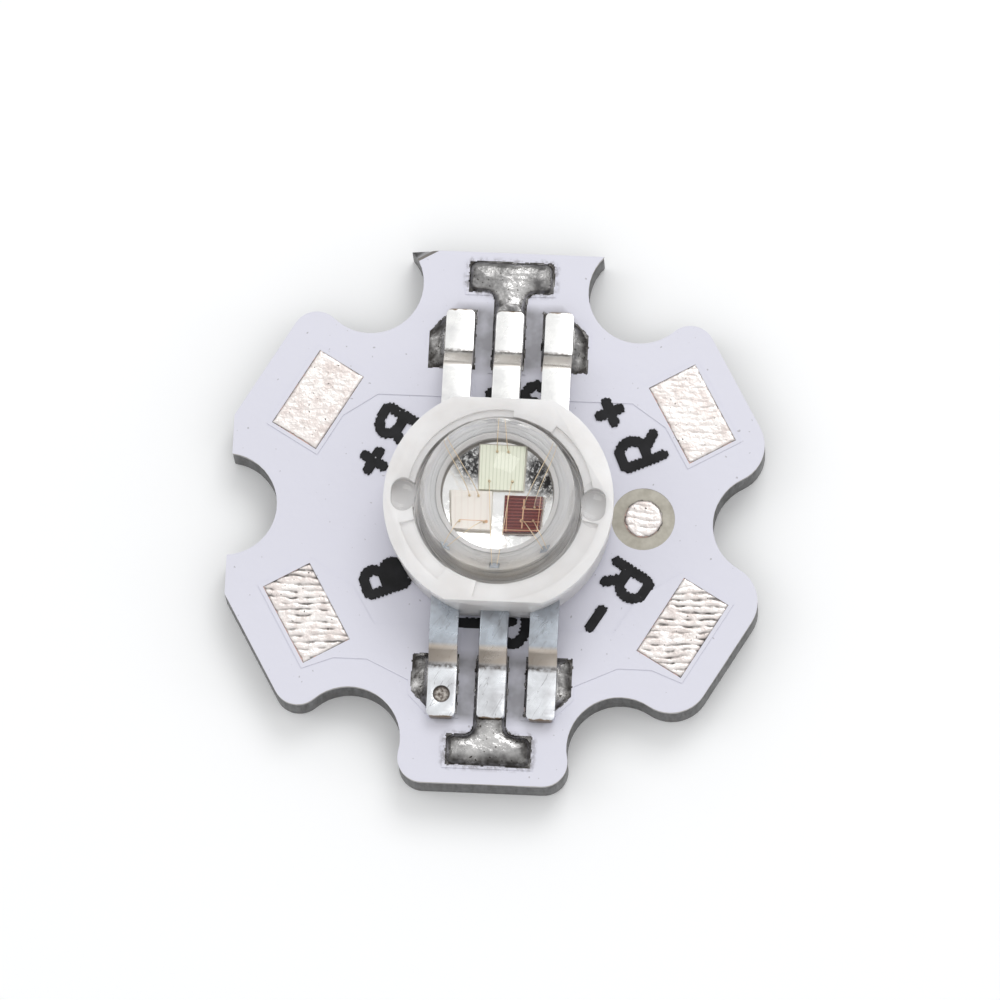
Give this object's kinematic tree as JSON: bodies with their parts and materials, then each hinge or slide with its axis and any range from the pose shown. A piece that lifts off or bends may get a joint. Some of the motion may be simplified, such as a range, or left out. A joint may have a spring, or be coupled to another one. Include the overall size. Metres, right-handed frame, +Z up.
{
  "type": "high power led",
  "caption": "Multicolour high power LED emitter with a clear dome lens and gull-wing leads, soldered to a star-shaped aluminium board with screw notches and wire pads.",
  "frame": {"origin": "middle of the punched star's outline, on the flat underside of the aluminium", "axes": "+Z up through the lens; +Y to the row of plus leads; +X to the red pads and the round fiducial"},
  "size_m": [0.0192, 0.0198, 0.0077],
  "materials": {
    "aluminium": "brushed, with punched edges",
    "dielectric": "matte",
    "white_lacquer": "satin",
    "copper": "bare copper under the lacquer",
    "tin": "rippled bright tin",
    "solder": "lumpy, bright and dull",
    "thermal_compound": "matte paste",
    "silver_plate": "silver-plated, mirror cup",
    "lead_plating": "bright silver plating",
    "milky_plastic": "milky, slightly translucent",
    "clear_lens": "clear, polished",
    "clear_silicone": "clear",
    "green_chip": "pale, faintly striped",
    "blue_chip": "pale, clear-topped",
    "red_chip": "dark red with gold fingers",
    "die_attach": "silver-filled glue",
    "gold": "bright gold wire"
  },
  "bodies": {
    "root": {"aluminium_base": "aluminium", "dielectric_sheet": "dielectric", "solder_mask": "white_lacquer", "blue_plus_track": "copper", "green_plus_track": "copper", "red_plus_track": "copper", "blue_minus_track": "copper", "green_minus_track": "copper", "red_minus_track": "copper", "heat_pad": "copper", "fiducial_dot": "copper", "blue_plus_pad_tin": "tin", "red_plus_pad_tin": "tin", "blue_minus_pad_tin": "tin", "red_minus_pad_tin": "tin", "fiducial_tin": "tin", "blue_plus_solder": "solder", "green_plus_solder": "solder", "red_plus_solder": "solder", "blue_minus_solder": "solder", "green_minus_solder": "solder", "red_minus_solder": "solder", "thermal_compound": "thermal_compound", "heat_slug": "silver_plate", "housing": "milky_plastic", "lens": "clear_lens", "silicone_fill": "clear_silicone", "blue_plus_lead": "lead_plating", "green_plus_lead": "lead_plating", "red_plus_lead": "lead_plating", "blue_minus_lead": "lead_plating", "green_minus_lead": "lead_plating", "red_minus_lead": "lead_plating", "green_die_attach": "die_attach", "green_chip": "green_chip", "green_bond_wires": "gold", "blue_die_attach": "die_attach", "blue_chip": "blue_chip", "blue_bond_wires": "gold", "red_die_attach": "die_attach", "red_chip": "red_chip", "red_bond_wires": "gold"}
  },
  "joints": []
}
